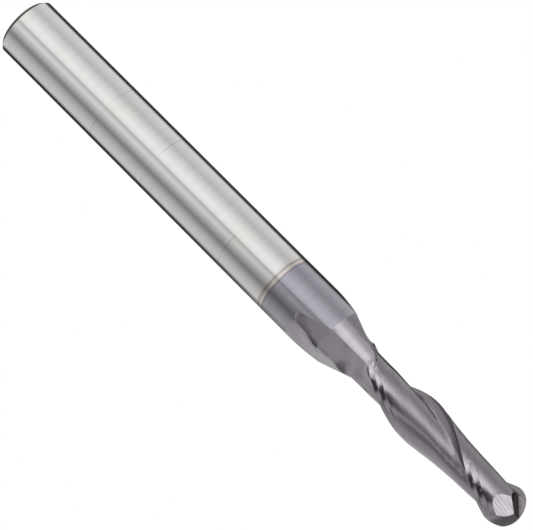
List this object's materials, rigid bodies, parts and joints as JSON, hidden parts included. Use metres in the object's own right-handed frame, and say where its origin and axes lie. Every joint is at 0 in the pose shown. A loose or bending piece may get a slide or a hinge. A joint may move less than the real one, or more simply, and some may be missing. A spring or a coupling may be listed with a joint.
{
  "type": "end mill",
  "caption": "Ball nose end mill with helical flutes, a plain round shank, a short cone down to a reduced cutting diameter and a coated working end.",
  "frame": {"origin": "centre of the flat end of the shank", "axes": "+Z along the tool axis from the shank end to the tip; the cutting edge of tooth_1 crosses the +X side 58.65 mm up"},
  "size_m": [0.006, 0.006, 0.065],
  "materials": {
    "ground_carbide": "centreless ground and polished cemented carbide",
    "coating_edge": "thinning edge of the coating film, straw to violet",
    "coated_carbide": "violet-grey hard coating over ground carbide, satin"
  },
  "bodies": {
    "root": {"shank": "ground_carbide", "coating_edge_band": "coating_edge", "coated_neck": "coated_carbide", "flute_core": "coated_carbide", "tooth_1": "coated_carbide", "tooth_2": "coated_carbide"}
  },
  "joints": []
}
